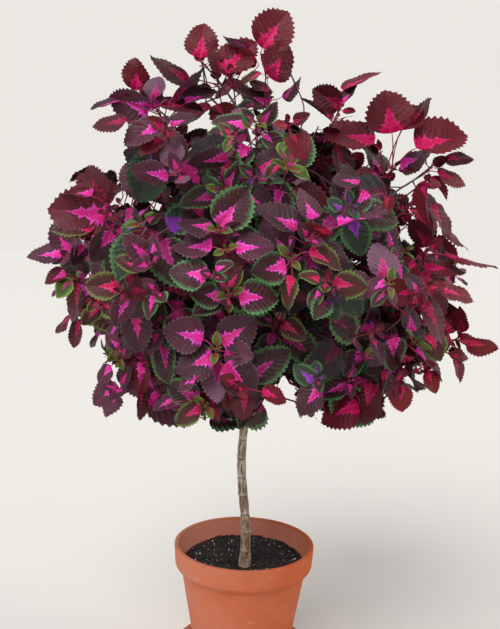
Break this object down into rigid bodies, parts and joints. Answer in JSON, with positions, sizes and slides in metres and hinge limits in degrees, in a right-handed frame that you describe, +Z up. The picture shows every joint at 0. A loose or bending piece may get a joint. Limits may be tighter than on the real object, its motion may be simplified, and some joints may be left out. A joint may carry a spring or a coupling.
{
  "type": "potted coleus",
  "caption": "Coleus grown as a standard in a clay pot on a saucer: a bare woody stem under a broad round crown of maroon, pink and green leaves.",
  "frame": {"origin": "centre of the saucer's flat underside, on the floor", "axes": "+Z up along the stem, +X to the viewer's right in the picture, +Y away from the viewer"},
  "size_m": [0.9639, 0.8785, 1.427],
  "materials": {
    "terracotta": "unglazed fired clay, matt",
    "potting_soil": "moist dark potting mix with white grains",
    "bark": "pale grey-brown bark with leaf scars",
    "young_stem": "smooth dark purple shoots",
    "foliage": "soft matt leaves, maroon with pink middles and green edges"
  },
  "bodies": {
    "root": {"bough_crest_left": "bark", "bough_crest_right": "bark", "bough_high_1": "bark", "bough_high_2": "bark", "bough_high_3": "bark", "bough_high_4": "bark", "bough_high_5": "bark", "bough_low_1": "bark", "bough_low_2": "bark", "bough_low_3": "bark", "bough_low_4": "bark", "bough_low_5": "bark", "bough_middle_1": "bark", "bough_middle_2": "bark", "bough_middle_3": "bark", "bough_middle_4": "bark", "bough_middle_5": "bark", "bough_middle_6": "bark", "bough_shoot_right_tip": "young_stem", "bough_shoot_top": "young_stem", "bough_shoot_top_back": "young_stem", "bough_shoot_top_left": "young_stem", "bough_shoot_top_middle": "young_stem", "foliage_crest_left": "foliage", "foliage_crest_right": "foliage", "foliage_high_1": "foliage", "foliage_high_2": "foliage", "foliage_high_3": "foliage", "foliage_high_4": "foliage", "foliage_high_5": "foliage", "foliage_low_1": "foliage", "foliage_low_2": "foliage", "foliage_low_3": "foliage", "foliage_low_4": "foliage", "foliage_low_5": "foliage", "foliage_middle_1": "foliage", "foliage_middle_2": "foliage", "foliage_middle_3": "foliage", "foliage_middle_4": "foliage", "foliage_middle_5": "foliage", "foliage_middle_6": "foliage", "foliage_shoot_right_high": "foliage", "foliage_shoot_right_tip": "foliage", "foliage_shoot_top": "foliage", "foliage_shoot_top_back": "foliage", "foliage_shoot_top_left": "foliage", "foliage_shoot_top_middle": "foliage", "foliage_shoot_upper_left": "foliage", "foliage_shoot_upper_right": "foliage", "pot": "terracotta", "saucer": "terracotta", "soil": "potting_soil", "trunk": "bark"}
  },
  "joints": []
}
